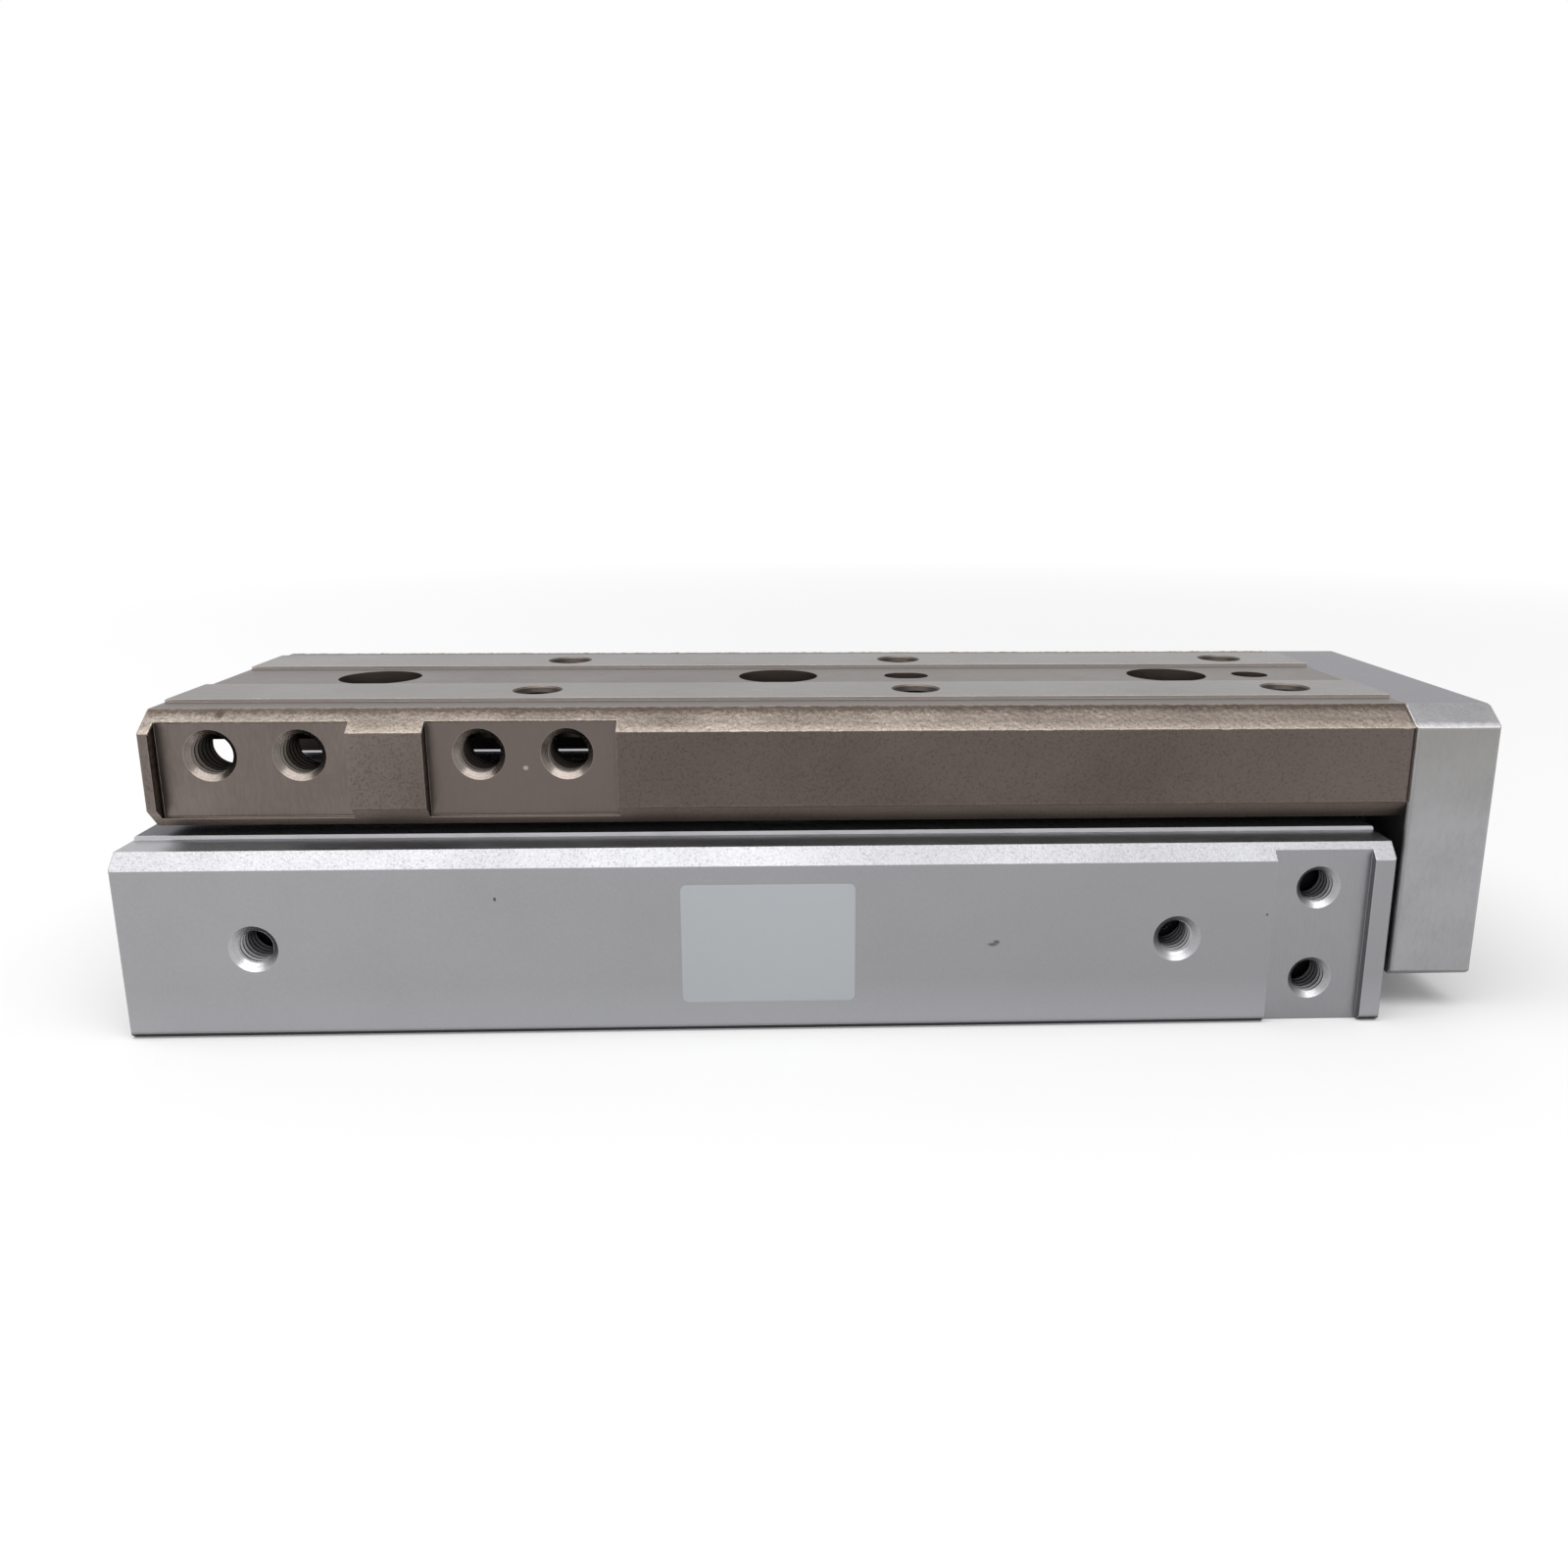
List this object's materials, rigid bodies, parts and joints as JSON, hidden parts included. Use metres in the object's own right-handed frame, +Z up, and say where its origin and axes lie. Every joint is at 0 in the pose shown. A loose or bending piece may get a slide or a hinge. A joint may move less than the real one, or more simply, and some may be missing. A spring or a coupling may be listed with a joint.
{
  "type": "pneumatic slide table",
  "caption": "Air slide table: twin cylinders in one body push an end plate and a table that runs on a recirculating ball guide.",
  "frame": {"origin": "bottom centre of the whole part with its table drawn back", "axes": "+X is the way the table and end plate travel outwards, +Z is up from the base to the table's top, and the side with the air ports faces -Y"},
  "size_m": [0.1682, 0.06, 0.04],
  "materials": {
    "anodised_body": "matte silver anodised, fine grain",
    "anodised_plate": "matte silver anodised, finely brushed",
    "cap_aluminium": "clear anodised, turned",
    "nickel_casting": "nickel plated, rough cast skin with machined lands and pads",
    "guide_steel": "hardened and ground",
    "rod_steel": "hard chromed and polished",
    "ball_steel": "polished bearing steel",
    "plain_steel": "zinc plated steel",
    "black_steel": "black oxide",
    "bush_brass": "turned",
    "magnet": "plastic-bonded ferrite",
    "resin": "moulded resin, matte",
    "urethane": "cast urethane",
    "nitrile": "nitrile rubber"
  },
  "bodies": {
    "housing": {"cylinder_body": "anodised_body", "head_cap_left": "cap_aluminium", "head_cap_right": "cap_aluminium", "head_cap_o_rings": "nitrile", "head_cap_snap_rings": "black_steel", "rear_bumpers": "urethane", "rod_cover_left": "cap_aluminium", "rod_cover_right": "cap_aluminium", "rod_cover_o_rings": "nitrile", "rod_cover_snap_rings": "black_steel", "rod_seals": "nitrile", "front_bumpers": "urethane", "guide_block": "guide_steel", "guide_block_screws": "black_steel", "return_guide_rear": "resin", "return_guide_front": "resin", "scraper_rear": "nitrile", "scraper_front": "nitrile", "return_guide_screws": "plain_steel", "ball_circuit_left": "ball_steel", "ball_circuit_right": "ball_steel"},
    "table": {"slide_table": "nickel_casting", "end_plate": "anodised_plate", "end_plate_screws": "black_steel", "piston_rod_left": "rod_steel", "piston_rod_right": "rod_steel", "piston_crown_left": "cap_aluminium", "piston_crown_right": "cap_aluminium", "piston_collars": "cap_aluminium", "piston_magnets": "magnet", "piston_seals": "nitrile", "wear_rings": "resin", "piston_nuts": "plain_steel", "floating_bushes": "bush_brass", "rod_end_washers": "plain_steel", "rod_end_screws": "black_steel"}
  },
  "joints": [
    {"name": "table_slide", "type": "slide", "parent": "housing", "child": "table", "axis": [1, 0, 0], "range_m": [0, 0.075]}
  ]
}
